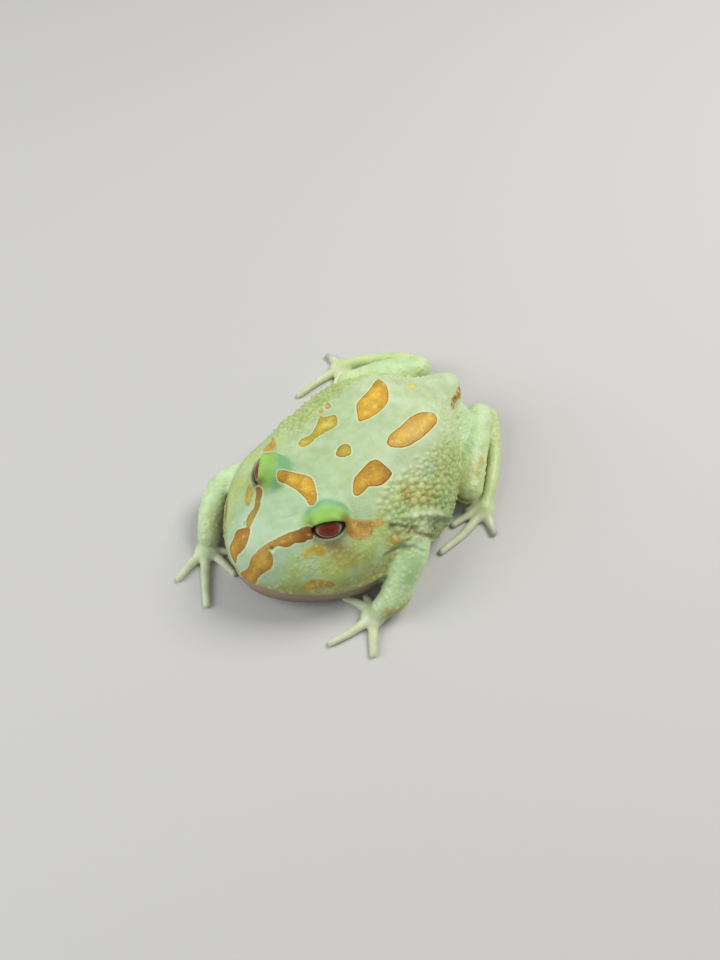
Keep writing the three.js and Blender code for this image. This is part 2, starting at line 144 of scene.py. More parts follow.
LEFT, RIGHT = ({name: in_mm(rows) for name, rows in sizes.items()} for sizes in (LEFT, RIGHT))
eye_low, eye_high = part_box("eye_left")  # tells where the frame has its origin
SHIFT = np.array((eye_low + eye_high) / 2) / MM - np.array(EYE)


def smooth_table(rows, at):
    """The rows' values at each place, through a smooth curve that never overshoots."""
    rows = np.array(rows, float)
    x, y = rows[:, 0], rows[:, 1:]
    width = np.diff(x)
    rise = np.diff(y, axis=0) / width[:, None]
    slope = np.zeros_like(y)
    slope[0], slope[-1] = rise[0], rise[-1]
    before, after = rise[:-1], rise[1:]
    safe = np.where(before + after == 0, 1, before + after)
    slope[1:-1] = np.where(before * after > 0, 2 * before * after / safe, 0)
    at = np.clip(at, x[0], x[-1])
    i = np.clip(np.searchsorted(x, at, side="right") - 1, 0, len(width) - 1)
    t = ((at - x[i]) / width[i])[:, None]
    w = width[i][:, None]
    a, b, da, db = y[i], y[i + 1], slope[i] * w, slope[i + 1] * w
    return a + t * (da + t * (3 * (b - a) - 2 * da - db + t * (2 * (a - b) + da + db)))


def half_width(s):
    shares = smooth_table(TRUNK_WIDTHS, s)[:, 0]
    along = np.clip((HEAD_ARC - np.maximum(s, 0)) / HEAD_ARC, 0, 1)
    arc = (1 - along**HEAD_ARC_POWER) ** (1 / HEAD_ARC_POWER)
    return HALF_WIDTH * shares * arc


def smooth_min(a, b, blend):
    h = np.clip(0.5 + 0.5 * (b - a) / blend, 0, 1)
    return b + h * (a - b) - blend * h * (1 - h)


def ramp(value, low, high):
    t = np.clip((value - low) / (high - low), 0, 1)
    return t * t * (3 - 2 * t)


def bell(value, width):
    return np.exp(-((value / width) ** 2))


CARVE = -1


class Field:
    """Distance to the skin on a grid: below zero inside the frog. It starts with the body."""

    def __init__(self, low, high):
        self.axes = [np.arange(a, b + CELL, CELL, dtype=np.float32) for a, b in zip(low, high)]
        self.origin = np.array([axis[0] for axis in self.axes])
        self.distance = body_field(*self.axes)

    def window(self, low, high):
        """The part of the grid in a box, and the x, y and z in it."""
        cut = tuple(
            slice(max(0, int(np.searchsorted(axis, a)) - 1), int(np.searchsorted(axis, b)) + 1)
            for axis, a, b in zip(self.axes, low, high)
        )
        x, y, z = (axis[part] for axis, part in zip(self.axes, cut))
        return cut, x[:, None, None], y[None, :, None], z[None, None, :]

    def add(self, shape, blend, sign=1):
        """Joins a shape, given as (low, high, function of x, y, z), or with CARVE takes it away."""
        low, high, distance = shape
        reach = blend + (1.5 if sign > 0 else 1.0)
        cut, x, y, z = self.window(np.array(low) - reach, np.array(high) + reach)
        self.distance[cut] = sign * smooth_min(sign * self.distance[cut], distance(x, y, z), blend)


def ball(centre, radii, axes=np.eye(3)):
    """A ball or an egg, with its three radii along the given directions."""
    radii = np.broadcast_to(np.array(radii, float), 3)
    centre, axes = np.array(centre, float), np.array(axes, float)
    reach = np.sqrt(((axes * radii[:, None]) ** 2).sum(0))

    def distance(x, y, z):
        off = (x - centre[0], y - centre[1], z - centre[2])
        own = [sum(o * v for o, v in zip(off, axis) if v) / r for axis, r in zip(axes, radii)]
        far = np.sqrt(sum(v**2 for v in own))
        slope = np.sqrt(sum((v / r) ** 2 for v, r in zip(own, radii)))
        return (far * (far - 1) / np.maximum(slope, 1e-4)).astype(np.float32)

    return centre - reach, centre + reach, distance


def spline(rows, steps):
    """A smooth run through all the rows but the first and the last."""
    run = []
    for a, b, c, d in zip(rows, rows[1:], rows[2:], rows[3:]):
        for t in np.arange(steps) / steps:
            cubic = 2 * b + (c - a) * t + (2 * a - 5 * b + 4 * c - d) * t**2 + (3 * b - a - 3 * c + d) * t**3
            run.append(0.5 * cubic)
    return run


def curve_points(stations, steps):
    """A smooth run through all the rows, with that many steps between two rows."""
    rows = np.array(stations, float)
    rows = np.vstack([2 * rows[0] - rows[1], rows, 2 * rows[-1] - rows[-2]])
    return np.array([*spline(rows, steps), rows[-2]])


def rod(stations, steps=6):
    """A round-ended tube through rows of x, y, z, radius."""
    run = curve_points(stations, steps)
    low = (run[:, :3] - run[:, 3:]).min(0)
    high = (run[:, :3] + run[:, 3:]).max(0)

    def distance(*place):
        whole = np.inf
        for a, b in zip(run, run[1:]):
            span = b[:3] - a[:3]
            length = max(float(span @ span), 1e-6)
            t = np.clip(sum((v - p) * s for v, p, s in zip(place, a, span)) / length, 0, 1)
            off = [v - p - t * s for v, p, s in zip(place, a, span)]
            whole = np.minimum(whole, np.sqrt(sum(v**2 for v in off)) - (a[3] + t * (b[3] - a[3])))
        return whole.astype(np.float32)

    return low, high, distance


def digit_rod(run):
    """A finger or a toe that lies on the floor along its run."""
    return rod([(x, y, r * DIGIT_LIFT, r) for (x, y), r in zip(run, DIGIT_RADII)])


def web(corners, x, y, z):
    """The distance to a thin three-cornered sheet of skin between two toes."""
    corners = np.array(corners, float)
    if np.cross(corners[1] - corners[0], corners[2] - corners[0]) < 0:
        corners = corners[::-1]
    edge = -np.inf
    for a, b in zip(corners, np.roll(corners, -1, axis=0)):
        along = (b - a) / np.linalg.norm(b - a)
        edge = np.maximum(edge, (x - a[0]) * along[1] - (y - a[1]) * along[0])
    middle, half = (WEB_BOTTOM + WEB_TOP) / 2, (WEB_TOP - WEB_BOTTOM) / 2
    return np.maximum(edge, np.abs(z - middle) - half).astype(np.float32)


def eye_frame(side):
    """The eye's own directions: out along the gaze, across towards its rear corner, and up."""
    out = Vector((GAZE[0] * side, GAZE[1], GAZE[2])).normalized()
    across = Vector((0, 0, side)).cross(out).normalized()
    across.rotate(Matrix.Rotation(side * LID_ROLL, 3, out))
    return np.array(out), np.array(across), np.array(out.cross(across) * side)


def mirrored(point, side):
    return np.array((point[0] * side, *point[1:]), float)


def body_field(x, y, z):
    """The loft of the body, with the lip, the set-back jaw and the crease of the mouth."""
    s = y - SNOUT_Y
    inside = np.clip(s, 0.02, SNOUT_TO_VENT - 0.02)
    top, belt, bottom, upper, lower, bend = (
        column[None, :, None]
        for rows in (BODY_HEIGHTS, SQUARENESS, BODY_BEND)
        for column in smooth_table(rows, inside).T
    )
    wide = np.maximum(half_width(inside), 0.05)[None, :, None]
    x = np.abs(x[:, None, None] - bend)
    z = z[None, None, :]
    rise = z - belt
    above = rise >= 0
    reach = np.where(above, top - belt, belt - bottom)
    power = np.where(above, upper, lower)
    ratio = ((x / wide) ** power + (np.abs(rise) / reach) ** power) ** (1 / power)
    radius = np.sqrt(x**2 + rise**2)
    gap = radius - radius / np.maximum(ratio, 1e-3)
    gap = np.where(ratio < 0.05, -np.minimum(wide, reach) + radius, gap)
    past = np.maximum(np.maximum(-s, s - SNOUT_TO_VENT), 0)[None, :, None]
    gap = np.where(past > 0, np.sqrt(np.maximum(gap, 0) ** 2 + past**2) + 0.01, gap).astype(np.float32)
    steep = np.sqrt(sum(g**2 for g in np.gradient(gap, CELL)))
    gap = gap / np.clip(steep, 1.0, None)
    for axis in range(3):
        gap = (np.roll(gap, 1, axis) + 2 * gap + np.roll(gap, -1, axis)) / 4
    return mouth_shape(gap, s, z)


def mouth_shape(gap, s, z):
    line = smooth_table(MOUTH, s)[:, 0][None, :, None]
    fade = (1 - ramp(s, MOUTH_END - 5, MOUTH_END))[None, :, None]
    rise = z - line
    lip = 0.42 * bell(rise - 0.95, 0.9) * (rise > 0)
    under = 0.12 * bell(rise - 3.2, 1.2)
    jaw = 0.75 * ramp(rise, -6.5, -0.6) * (rise <= 0)
    crease = 0.6 * bell(rise + 0.25, 0.3) * (rise <= 0)
    return (gap - (lip - under - jaw - crease) * fade).astype(np.float32)


def lid_dome(side):
    out, across, up = eye_frame(side)
    return ball(mirrored(EYE, side), DOME_RADII, (across, up, out))


def on_lids(side, turn, share, depth):
    """A place in the lids round the eye: at an angle about the gaze, and that far below their outside."""
    out, across, up = eye_frame(side)
    wide, high = LID_OPENING[0] * 1.06, LID_OPENING[1] * share
    direction = out * EYE_RADIUS + across * wide * math.cos(turn) + up * high * math.sin(turn)
    direction = direction / np.linalg.norm(direction)
    far = 1 / np.linalg.norm([direction @ v / r for v, r in zip((across, up, out), DOME_RADII)])
    return mirrored(EYE, side) + direction * (far - depth)


def eye_slot(side):
    """The lens-shaped room between the lids."""
    out, across, up = eye_frame(side)
    middle = mirrored(EYE, side) + out * EYE_RADIUS * 0.9
    radii = (*LID_OPENING, EYE_RADIUS)

    def distance(x, y, z):
        off = (x - middle[0], y - middle[1], z - middle[2])
        own = [sum(o * v for o, v in zip(off, axis)) / r for axis, r in zip((across, up, out), radii)]
        return ((np.sqrt(sum(v**2 for v in own)) - 1) * LID_OPENING[1]).astype(np.float32)

    return middle - EYE_RADIUS, middle + EYE_RADIUS, distance


def head_details(field):
    for side in (1, -1):
        centre = mirrored(EYE, side)
        nostril = mirrored(NOSTRIL, side)
        ridge = [
            (*(centre + (-side * 2.6, -4.2, 0.4)), 1.3),
            (*((centre + nostril) / 2 + (-side * 0.6, 0.2, 0.1)), 1.3),
            (*(nostril + (0, 0.6, -0.3)), 1.2),
        ]
        field.add(rod(ridge), 2.2)
        field.add(ball(nostril, (1.35, 1.35, 1.2)), 0.7)
        field.add(lid_dome(side), 1.6)
        turns = np.linspace(0, math.pi, 9)
        upper = [(*on_lids(side, turn, 1.5, 0.45), 0.45 + 0.45 * math.sin(turn) ** 1.5) for turn in turns]
        lower = [(*on_lids(side, -turn, 1.35, 0.4), 0.5) for turn in turns]
        field.add(rod(upper, 3), 1.0)
        field.add(rod(lower, 3), 0.5)
        field.add(ball(centre, EYE_RADIUS + 0.04), 0.15, CARVE)
        field.add(eye_slot(side), 0.25, CARVE)
        field.add(ball(nostril + (side * 0.45, -0.5, 1.0), 0.55), 0.3, CARVE)


def limbs(field, sizes):
    arm, foot = sizes["arm"], sizes["foot"]
    field.add(rod(sizes["thigh"]), 1.2)
    field.add(rod(sizes["shank"]), 0.5)
    add_paw(field, foot, sizes["toes"], foot[-1][:2], SOLE_RADII, foot[-2], 0.5)
    field.add(rod(arm), 1.5)
    add_paw(field, arm[-1:], sizes["fingers"], sizes["palm"], PALM_RADII, arm[-1], 0.6)


def add_paw(field, stem, digits, pad, radii, towards, blend):
    """Adds a hand or a foot, put together first so that its digits don't melt into what they lie against."""
    points = np.array([p for run in digits for p in run] + [row[:2] for row in stem])
    cut, x, y, z = field.window((*(points.min(0) - 4), -2.0), (*(points.max(0) + 4), 8.0))
    facing = math.atan2(towards[1] - pad[1], towards[0] - pad[0]) - math.pi / 2
    cos, sin = math.cos(facing), math.sin(facing)
    dx, dy = x - pad[0], y - pad[1]
    turned = (dx * cos + dy * sin, dy * cos - dx * sin, z - radii[2] * 0.8)
    own = ball((0, 0, 0), radii)[2](*turned)
    if len(stem) > 1:
        own = smooth_min(rod(stem)[2](x, y, z), own, 1.0)
    for run in digits:
        own = smooth_min(own, digit_rod(run)[2](x, y, z), 0.7)
    if len(digits) == 5:  # a foot has webs
        for pair in zip(digits, digits[1:]):
            ends = [np.array(run[0]) * (1 - WEB_REACH) + np.array(run[1]) * WEB_REACH for run in pair]
            own = smooth_min(own, web([pad, *ends], x, y, z), 0.8)
    field.distance[cut] = smooth_min(field.distance[cut], own, blend)


CORNERS = np.array([(i, j, k) for i in (0, 1) for j in (0, 1) for k in (0, 1)])  # of a cell of the grid


def surface(field):
    """Points and quads of the field's zero surface, one point in each cell that it crosses."""
    d = field.distance
    inside = d < 0
    shape = np.array(d.shape) - 1
    count = sum(inside[tuple(map(slice, corner, corner + shape))].astype(np.int8) for corner in CORNERS)
    cells = np.argwhere((count > 0) & (count < 8))
    number = np.full(shape, -1)
    number[tuple(cells.T)] = np.arange(len(cells))
    total = np.zeros((len(cells), 3))
    hits = np.zeros(len(cells))
    for first in CORNERS:
        for axis, step in enumerate(np.eye(3, dtype=int)):
            if first[axis]:
                continue
            a = cells + first
            da, db = d[tuple(a.T)], d[tuple((a + step).T)]
            crossed = (da < 0) != (db < 0)
            t = np.where(crossed, da / np.where(crossed, da - db, 1), 0)
            total += np.where(crossed[:, None], a + t[:, None] * step, 0)
            hits += crossed
    points = field.origin + total / hits[:, None] * CELL
    quads = []
    for axis in range(3):
        sides = [i for i in range(3) if i != axis]
        part = tuple(slice(n - (i == axis)) for i, n in enumerate(d.shape))
        low, high = inside[part], np.roll(inside, -1, axis)[part]
        edges = np.argwhere(low != high)
        edges = edges[((edges[:, sides] > 0) & (edges[:, sides] < shape[sides])).all(1)]
        ring = []
        for back in ((0, 0), (1, 0), (1, 1), (0, 1)):
            cell = edges.copy()
            cell[:, sides] -= back
            ring.append(number[tuple(cell.T)])
        ring = np.stack(ring, 1)
        flip = low[tuple(edges.T)] ^ (axis == 1)
        quads.append(np.where(flip[:, None], ring, ring[:, ::-1]))
    return points, np.vstack(quads)


def sample(field, points):
    """The field's value and slope at each point."""
    place = (points - field.origin) / CELL
    low = np.clip(np.floor(place).astype(int), 0, np.array(field.distance.shape) - 2)
    t = place - low
    value, slope = np.zeros(len(points)), np.zeros((len(points), 3))
    for corner in CORNERS:
        d = field.distance[tuple((low + corner).T)]
        w = np.where(corner, t, 1 - t)
        value += d * w[:, 0] * w[:, 1] * w[:, 2]
        slope += d[:, None] * (2 * corner - 1) * w[:, [1, 0, 0]] * w[:, [2, 2, 1]]
    return value, slope / CELL


def edges_of(quads):
    return np.vstack([quads[:, [i, (i + 1) % 4]] for i in range(4)])


def largest_piece(points, quads):
    """Drops loose scraps, and points that no quad uses."""
    label = np.arange(len(points))
    one, other = edges_of(quads).T
    while True:
        low = np.minimum(label[one], label[other])
        new = label.copy()
        np.minimum.at(new, one, low)
        np.minimum.at(new, other, low)
        new = new[new]
        if np.array_equal(new, label):
            break
        label = new
    main = label == np.bincount(label).argmax()
    renumber = np.cumsum(main) - 1
    return points[main], renumber[quads[main[quads[:, 0]]]]


def relax(field, points, quads, rounds):
    """Evens the points out over the surface, and sets them back on it."""
    pairs = edges_of(quads)
    here, other = np.vstack([pairs, pairs[:, ::-1]]).T
    share = np.bincount(here, minlength=len(points))
    for _ in range(rounds):
        mean = np.stack([np.bincount(here, points[other, i], len(points)) / share for i in range(3)], 1)
        points = points * 0.4 + mean * 0.6
        value, slope = sample(field, points)
        steep = np.maximum((slope**2).sum(1), 0.25)
        points = points - slope * (np.clip(value, -0.3, 0.3) / steep)[:, None]
        points[:, 2] = np.maximum(points[:, 2], 0)
    return points


def normals_of(points, quads):
    face = np.cross(points[quads[:, 2]] - points[quads[:, 0]], points[quads[:, 3]] - points[quads[:, 1]])
    total = np.zeros_like(points)
    for corner in quads.T:
        for i in range(3):
            total[:, i] += np.bincount(corner, face[:, i], len(points))
    return total / np.maximum(np.linalg.norm(total, axis=1), 1e-9)[:, None]


def link(name, data):
    piece = bpy.data.objects.new(name, data)
    bpy.context.scene.collection.objects.link(piece)
    return piece


def make_mesh(name, points, faces):
    mesh = bpy.data.meshes.new(name)
    mesh.from_pydata(((points + SHIFT) * MM).tolist(), [], faces.tolist())
    mesh.update()
    mesh.polygons.foreach_set("use_smooth", np.ones(len(mesh.polygons), bool))
    return link(name, mesh)


def modify(piece, kind, **settings):
    """Adds a modifier to the piece and applies it."""
    modifier = piece.modifiers.new(kind, kind)
    for key, value in settings.items():
        setattr(modifier, key, value)
    bpy.context.view_layer.objects.active = piece
    bpy.ops.object.modifier_apply(modifier=kind)


def srgb(*levels):
    """A colour given as it looks, from 0 to 255, on the shader's own scale."""
    return tuple((level / 255) ** 2.2 for level in levels)


MINT, PALE, BLUE_MINT = srgb(188, 210, 162), srgb(208, 226, 180), srgb(178, 210, 178)
# The moss green is laid on as painted shade: on the near upper arm, and on the lower flanks, where it is
# partly their own darker skin.
LEAF, LIME, SHADED_MOSS, OLIVE = srgb(200, 229, 177), srgb(184, 206, 116), srgb(124, 156, 84), srgb(158, 156, 84)
# The dark brown below is painted shade: on the jaw towards the floor, in the crease of the mouth and in the
# crease behind the ear.
CREAM, BUFF, GREY, SHADE_BROWN = srgb(224, 228, 192), srgb(158, 130, 108), srgb(160, 162, 152), srgb(84, 56, 34)
# The dark olive is laid on as painted shade under the flap, in the creases above and at the root of the near
# arm and in the corners of the eyes; it also darkens the cheek under the near eye.
TEAL, GRASS, SHADE = srgb(136, 190, 138), srgb(158, 206, 90), srgb(104, 102, 56)
AMBER, HONEY, GOLD, YELLOW = srgb(208, 162, 54), srgb(192, 170, 66), srgb(196, 156, 66), srgb(228, 222, 118)
RUSSET, BROWN = srgb(178, 126, 34), srgb(146, 92, 26)

# The outlines and lines from here to FOLDS lie on the skin, as x, y, z in tenths of a millimetre.
MARKINGS = [  # colour at the first point and at the far end, how crisp the edge is, outline
    (AMBER, AMBER, 1, [(61, 46, 252), (51, 58, 254), (48, 72, 255), (50, 105, 256), (47, 143, 251),
        (51, 174, 243), (59, 187, 240), (66, 199, 232), (77, 200, 228), (87, 194, 227), (93, 182, 229),
        (98, 154, 235), (101, 118, 241), (99, 103, 243), (93, 75, 244), (77, 54, 248)]),
    (AMBER, AMBER, 1, [(-98, 181, 232), (-80, 184, 237), (-59, 175, 243), (-42, 160, 249), (-27, 144, 254),
        (-17, 125, 257), (-13, 103, 260), (-14, 84, 260), (-17, 70, 260), (-27, 46, 258), (-38, 51, 257),
        (-68, 77, 253), (-74, 92, 252), (-79, 121, 250), (-83, 140, 246)]),
    (HONEY, HONEY, 0.9, [(-11, -50, 250), (-16, -44, 251), (-12, -26, 255), (-5, -20, 256), (4, -19, 257),
        (19, -32, 253), (11, -49, 250), (-5, -56, 249)]),
    (RUSSET, AMBER, 1, [(70, 0, 247), (80, 4, 244), (110, 7, 232), (115, -2, 229), (117, -12, 227),
        (115, -33, 226), (109, -43, 227), (101, -52, 229), (98, -58, 229), (98, -86, 226), (93, -92, 227),
        (88, -95, 228), (74, -82, 234), (66, -71, 237), (63, -61, 240), (62, -21, 247), (64, -10, 248)]),
    (HONEY, HONEY, 0.7, [(-105, -83, 223), (-109, -65, 223), (-98, -49, 230), (-101, -37, 231),
        (-110, -14, 231), (-123, 8, 226), (-110, 12, 233), (-92, 29, 241), (-70, 14, 248), (-64, 4, 249),
        (-69, -18, 245), (-74, -26, 243), (-73, -37, 241), (-81, -49, 236), (-78, -59, 236), (-83, -81, 231),
        (-92, -85, 228)]),
    (HONEY, HONEY, 0.7, [(-145, 51, 220), (-132, 51, 227), (-122, 45, 230), (-124, 37, 228),
        (-135, 37, 222)]),
    (HONEY, HONEY, 0.7, [(-146, 27, 217), (-142, 34, 218), (-131, 26, 224), (-131, 19, 222),
        (-142, 20, 216)]),
    (AMBER, AMBER, 0.9, [(-65, -181, 257), (-63, -174, 254), (-54, -153, 236), (-44, -147, 234),
        (-11, -134, 238), (14, -143, 237), (36, -159, 234), (44, -170, 234), (46, -180, 237), (42, -183, 233),
        (32, -183, 231), (17, -179, 233), (-12, -178, 233), (-35, -181, 232), (-42, -183, 233),
        (-54, -193, 244)]),
    (YELLOW, YELLOW, 0.6, [(-36, 226, 229), (-28, 244, 220), (-19, 241, 222), (-14, 229, 228),
        (-17, 219, 232), (-24, 215, 234)]),
    (RUSSET, BROWN, 0.3, [(24, 360, 153), (32, 359, 137), (46, 340, 141), (50, 320, 151), (63, 293, 155),
        (62, 284, 167), (54, 289, 170), (45, 302, 167), (35, 335, 157)]),
    (RUSSET, AMBER, 0.4, [(-201, -83, 161), (-175, -95, 184), (-154, -110, 198), (-143, -121, 203),
        (-168, -137, 188), (-177, -130, 181), (-181, -104, 179)]),
    (HONEY, HONEY, 0.3, [(-117, -226, 203), (-97, -234, 211), (-69, -269, 211), (-80, -272, 203),
        (-98, -260, 198), (-113, -241, 198)]),
    (BROWN, GOLD, 0.7, [(86, -224, 242), (70, -233, 232), (59, -247, 223), (46, -269, 218), (33, -299, 209),
        (25, -318, 199), (31, -321, 196), (39, -315, 202), (45, -306, 200), (50, -298, 208), (67, -284, 205),
        (74, -266, 209), (87, -251, 208), (89, -241, 210), (96, -232, 216)]),
    (GOLD, RUSSET, 0.7, [(25, -318, 199), (18, -344, 182), (18, -352, 174), (20, -362, 158), (16, -367, 147),
        (3, -376, 122), (10, -376, 115), (7, -369, 84), (23, -366, 80), (44, -367, 118), (45, -361, 130),
        (52, -352, 151), (63, -336, 166), (64, -330, 172), (58, -319, 187), (49, -316, 198),
        (41, -315, 201)]),
    (RUSSET, RUSSET, 0.8, [(-31, -309, 205), (-39, -315, 201), (-56, -326, 182), (-53, -340, 169),
        (-54, -349, 154), (-57, -355, 128), (-22, -369, 130), (-15, -367, 152), (-17, -363, 158),
        (-10, -348, 180), (-11, -333, 191), (-25, -310, 204)]),
    (BROWN, HONEY, 0.6, [(-87, -233, 222), (-77, -242, 219), (-57, -266, 217), (-52, -291, 210),
        (-46, -301, 207), (-35, -310, 205), (-29, -306, 206), (-36, -283, 214), (-46, -258, 220),
        (-55, -247, 223), (-69, -230, 235)]),
    (RUSSET, GOLD, 0.15, [(125, -165, 251), (126, -155, 242), (124, -137, 215), (141, -120, 204),
        (167, -81, 193), (174, -89, 186), (169, -110, 189), (172, -126, 185), (167, -150, 187),
        (150, -165, 195), (141, -168, 203), (139, -172, 223), (118, -157, 205)]),
    (HONEY, HONEY, 0.1, [(97, -268, 195), (106, -237, 203), (118, -226, 203), (128, -224, 195),
        (133, -233, 190), (130, -243, 186), (119, -250, 192), (105, -271, 189)]),
    (HONEY, RUSSET, 0.2, [(126, -308, 127), (139, -288, 146), (147, -277, 146), (166, -258, 140),
        (180, -248, 123), (169, -263, 120), (156, -281, 122), (141, -298, 117)]),
    (HONEY, AMBER, 0.5, [(-184, 89, 172), (-176, 126, 174), (-189, 152, 148), (-209, 140, 127),
        (-215, 102, 129), (-202, 82, 150)]),
    (RUSSET, BROWN, 0.2, [(-109, -318, 132), (-124, -304, 146), (-149, -279, 142), (-170, -256, 130),
        (-154, -280, 122), (-129, -305, 120)]),
]
FLAP = [(204, -16, 172), (213, 2, 168), (218, 26, 150), (230, 48, 132)]  # loose skin over the near arm
EAR_RIDGE = [(211, -101, 150), (215, -75, 145), (221, -53, 143)]  # between ear and arm
SHOULDER_BAND = [(223, 0, 147), (229, -21, 143), (235, -48, 138), (234, -67, 134)]  # before the flap
ARM_GAP = [(216, -123, 139), (220, -99, 135), (229, -76, 132), (247, -61, 134)]  # above the arm
ARM_ROOT = [(216, -48, 149), (243, -20, 138), (246, 6, 97)]  # where the arm leaves the body
BLUSHES_AND_SHADE = [  # soft washes of colour, some of them painted shade in creases, under the flap and on the near arm: radius, share, colour, line
    (3.0, 0.5, TEAL, [(215, 80, 120), (226, 30, 120)]),
    (2.1, 0.9, HONEY, [(174, 16, 192), (194, 46, 172)]),
    (1.3, 0.8, RUSSET, [(156, 8, 206), (166, -2, 196)]),
    (1.0, 0.65, HONEY, [(193, 257, 98), (205, 227, 97), (207, 217, 97)]),
    # Painted shade where the near arm leaves the body.
    (1.0, 0.6, BROWN, ARM_ROOT),
    (2.2, 0.6, RUSSET, [(118, -216, 202), (144, -204, 190)]),
    (3.0, 0.5, SHADE, [(150, -200, 184), (175, -185, 162), (195, -160, 140)]),
    (1.8, 0.5, HONEY, [(162, -220, 172), (176, -204, 166)]),
    (1.8, 0.5, CREAM, [(146, 41, 219), (142, 84, 223), (162, 56, 206)]),
    (1.6, 0.7, BLUE_MINT, [(159, 80, 211), (159, 107, 215)]),
    (1.0, 0.7, HONEY, [(156, 112, 209), (170, 122, 204)]),
    (1.1, 0.8, BROWN, [(185, 158, 54), (210, 154, 54), (236, 166, 54)]),
    # Reddish brown inside the far forearm: partly its own blush, partly painted shade.
    (2.2, 0.4, RUSSET, [(-172, -330, 50), (-204, -280, 60)]),
    (1.2, 0.5, HONEY, [(206, 120, 110), (202, 180, 90), (176, 250, 96)]),
    # Painted shade under the flap over the near arm, partly its own darker skin.
    (2.3, 0.75, SHADE, [(234, 34, 130), (246, 6, 100)]),
    (1.2, 0.95, PALE, FLAP),
    (1.4, 0.7, LIME, EAR_RIDGE),
    (1.2, 0.9, PALE, SHOULDER_BAND),
    # Painted shade in the crease above the near arm.
    (0.8, 0.55, SHADE, ARM_GAP),
    # More painted shade along the root of the near arm.
    (0.7, 0.8, SHADE, [(216, -48, 149), (227, -33, 142), (243, -20, 138), (246, 6, 110)]),
    # Painted shade in the crease behind the ear.
    (0.8, 0.9, SHADE_BROWN, [(186, -74, 177), (205, -51, 164), (214, -33, 152), (219, -24, 148)]),
    (1.6, 0.7, BROWN, [(208, -88, 156), (208, -80, 156)]),
    (0.8, 0.9, AMBER, [(208, -86, 160), (208, -82, 160)]),
    # Painted shade on the near upper arm.
    (2.6, 0.5, SHADED_MOSS, [(256, -80, 120), (284, -130, 106)]),
    (1.5, 0.75, HONEY, [(284, -190, 50), (302, -172, 48), (304, -146, 54)]),
    (1.0, 0.6, BROWN, [(288, -192, 40), (304, -172, 40)]),
]
FOLDS = [  # ridges and, below zero, creases of loose skin: height, half width, line
    (-0.5, 0.5, ARM_GAP + [(267, -48, 122)]),
    (0.45, 0.6, EAR_RIDGE),
    (0.5, 0.7, SHOULDER_BAND),
    (0.8, 0.75, [(204, -16, 172), (213, 2, 168), (229, 43, 136), (237, 75, 96)]),
    (-0.5, 0.45, [(186, -74, 177), (194, -63, 170), (205, -51, 164), (219, -24, 148)]),
    (0.5, 0.7, [(215, -61, 146), (227, -46, 140), (241, -34, 137)]),
    (-0.45, 0.35, ARM_ROOT),
    (0.45, 0.7, [(-180, -60, 164), (-204, -40, 142), (-220, -10, 112)]),
    (-0.25, 0.35, [(12, -250, 222), (24, -236, 224), (32, -220, 225)]),
    (0.35, 0.9, [(22, 240, 214), (12, 290, 198), (-4, 330, 182)]),
]
WARTY_PATCH = (18.0, 3.0, 18.8)  # the middle of the big pale beads behind the shoulder
BIG_WARTS = [(20.8, -8.4, 15.6, 0.9, 0.6), (16.3, 11.8, 20.7, 1.0, 0.35)]  # x, y, z, radius, height


def nearest_tree(points):
    tree = KDTree(len(points))
    for i, point in enumerate(points.tolist()):
        tree.insert(point, i)
    tree.balance()
    return tree


def nearest_on_line(p, run):
    """The distance of each point from a run of straight pieces."""
    found = np.full(len(p), 9.0)
    for a, b in zip(run, run[1:]):
        span = b - a
        t = np.clip(((p - a) @ span) / max(span @ span, 1e-9), 0, 1)
        found = np.minimum(found, np.linalg.norm(p - a - t[:, None] * span, axis=1))
    return found


def outline_depth(points, outline):
    """How far each point is inside an outline, seen square on to it, and how far along it the point is."""
    smooth = np.array(spline(np.vstack([outline[-1:], outline, outline[:2]]), 4))
    centre = smooth.mean(0)
    axes = np.linalg.svd(smooth - centre)[2]
    axes[0] *= -np.sign((smooth[0] - centre) @ axes[0])
    ring = (smooth - centre) @ axes.T
    reach = np.abs(ring).max(0)
    local = (points - centre) @ axes.T
    near = (np.abs(local) < reach + (3, 3, 1.5)).all(1)
    p = local[near, :2]
    ring = np.vstack([ring, ring[:1]])[:, :2]
    inside = np.zeros(len(p), bool)
    for a, b in zip(ring, ring[1:]):
        crosses = (a[1] > p[:, 1]) != (b[1] > p[:, 1])
        rise = b[1] - a[1] if abs(b[1] - a[1]) > 1e-9 else 1e-9
        inside ^= crosses & (p[:, 0] < a[0] + (p[:, 1] - a[1]) * (b[0] - a[0]) / rise)
    gap = nearest_on_line(p, ring)
    depth = np.full(len(points), -3.0)
    depth[near] = np.where(inside, gap, -np.minimum(gap, 3))
    return depth, np.clip(local[:, 0] / reach[0] * 0.5 + 0.5, 0, 1)


def line_distance(points, line, tree, normals):
    """The distance of each point from a line, which is moved along the skin's normals onto the skin."""
    run = curve_points(line, 8)
    found = [tree.find(point)[:2] for point in run.tolist()]
    normal = normals[[i for _, i in found]]
    off = np.array([place for place, _ in found]) - run
    run += normal * (off * normal).sum(1)[:, None]
    near = ((points > run.min(0) - 4) & (points < run.max(0) + 4)).all(1)
    gap = np.full(len(points), 9.0)
    gap[near] = nearest_on_line(points[near], run)
    return gap


def at(shape, points):
    return shape[2](*points.T)


